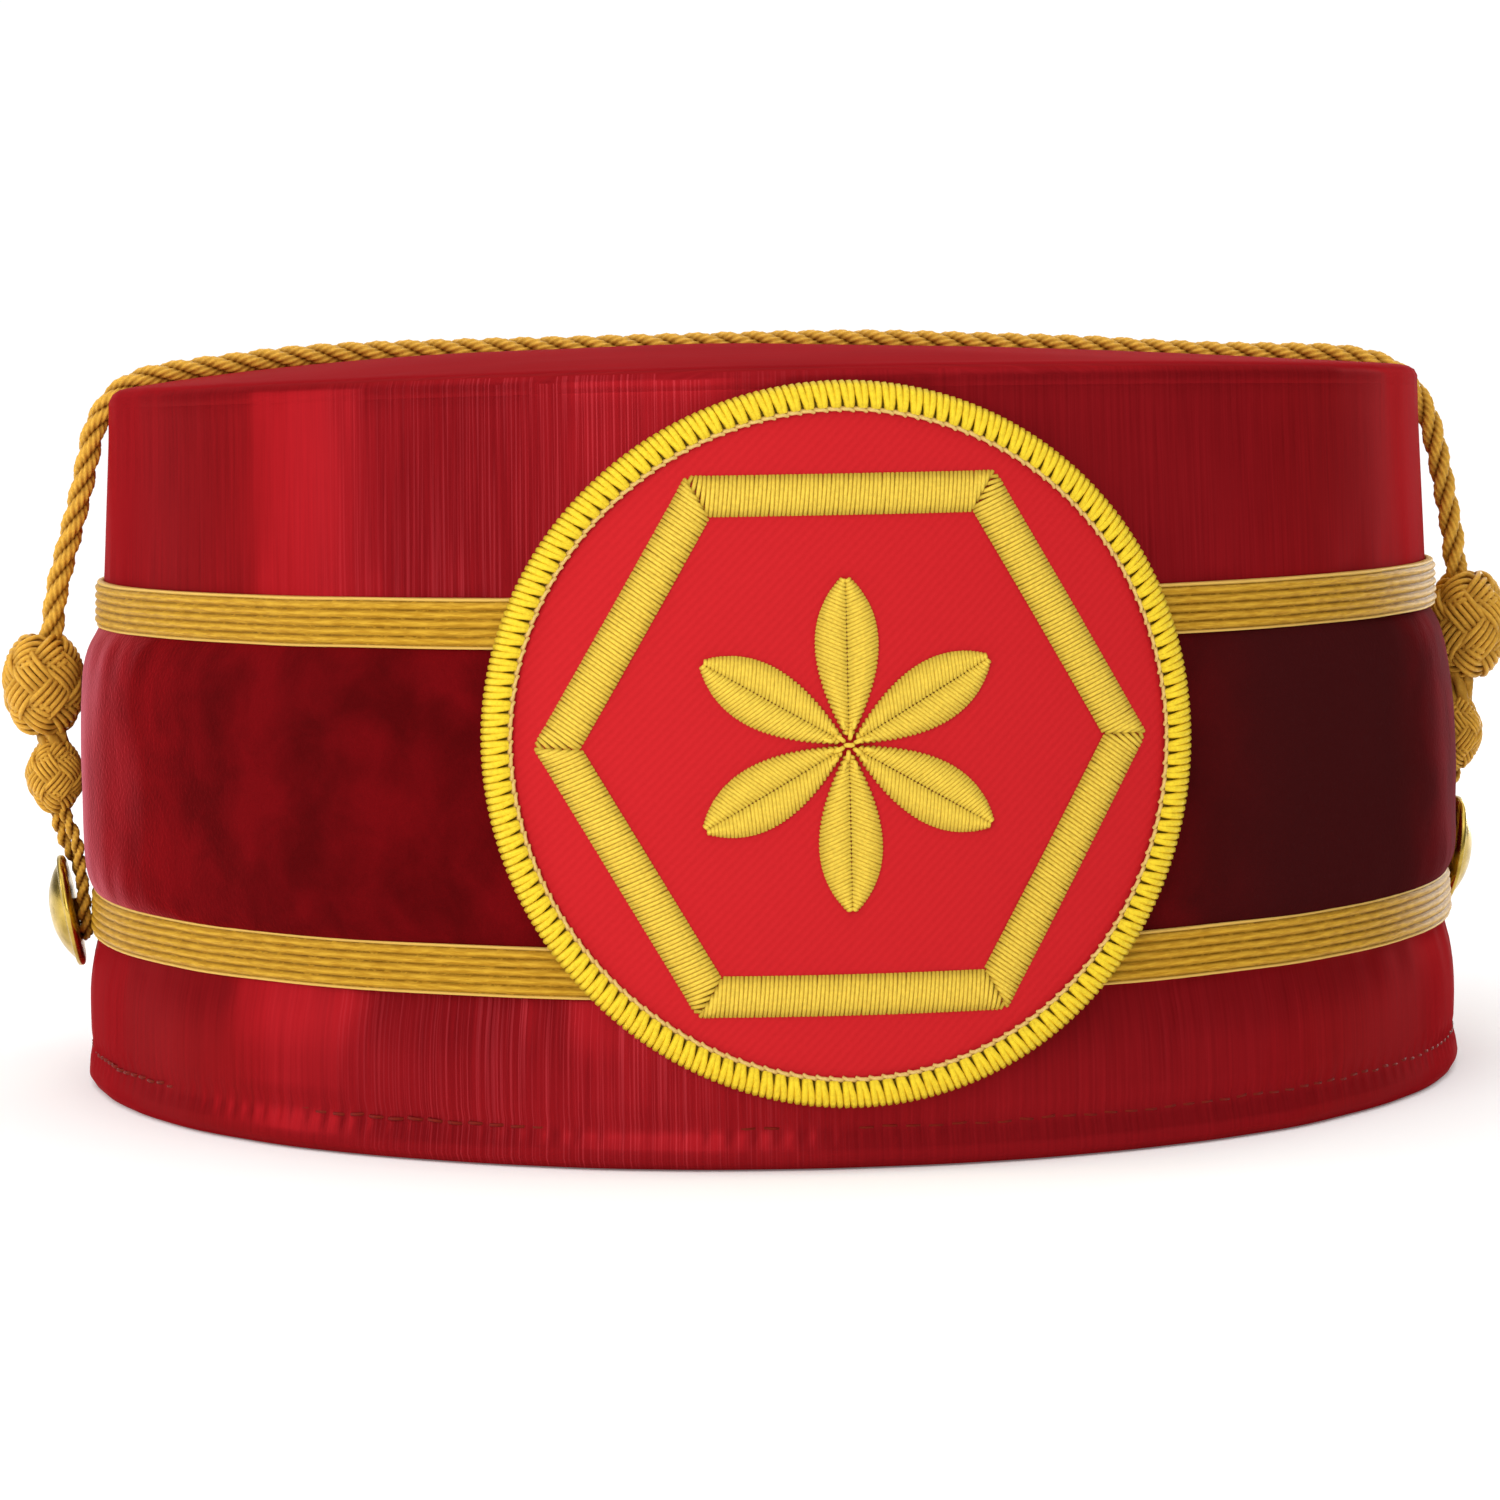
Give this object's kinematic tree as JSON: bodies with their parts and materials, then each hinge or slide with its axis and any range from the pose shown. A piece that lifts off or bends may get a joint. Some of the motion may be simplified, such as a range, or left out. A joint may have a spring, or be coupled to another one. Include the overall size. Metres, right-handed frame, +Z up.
{
  "type": "masonic crown cap",
  "caption": "Oval flat-topped satin cap with a velvet band between gold braids, a round embroidered badge in front and a twisted cord with knots over the top, worn on the head.",
  "frame": {"origin": "middle of the head oval, on the plane of the rim that the cap rests on", "axes": "+Z up through the top panel, -Y out of the front through the badge, +X towards the right as seen from the front"},
  "size_m": [0.1914, 0.2022, 0.0921],
  "materials": {
    "satin": "red satin",
    "velvet": "wine red velvet",
    "braid": "woven gold braid",
    "badge_twill": "red cotton twill",
    "badge_thread": "gold embroidery thread",
    "cord": "twisted gold cord",
    "gilt": "polished gilt"
  },
  "bodies": {
    "root": {"side_wall": "satin", "top_panel": "satin", "velvet_band": "velvet", "upper_braid": "braid", "lower_braid": "braid", "badge_cloth": "badge_twill", "badge_border": "badge_thread", "badge_hexagon": "badge_thread", "badge_rosette": "badge_thread", "cap_cord": "cord", "left_upper_knot": "cord", "left_lower_knot": "cord", "right_upper_knot": "cord", "right_lower_knot": "cord", "left_loop": "cord", "right_loop": "cord", "left_button": "gilt", "right_button": "gilt"}
  },
  "joints": []
}
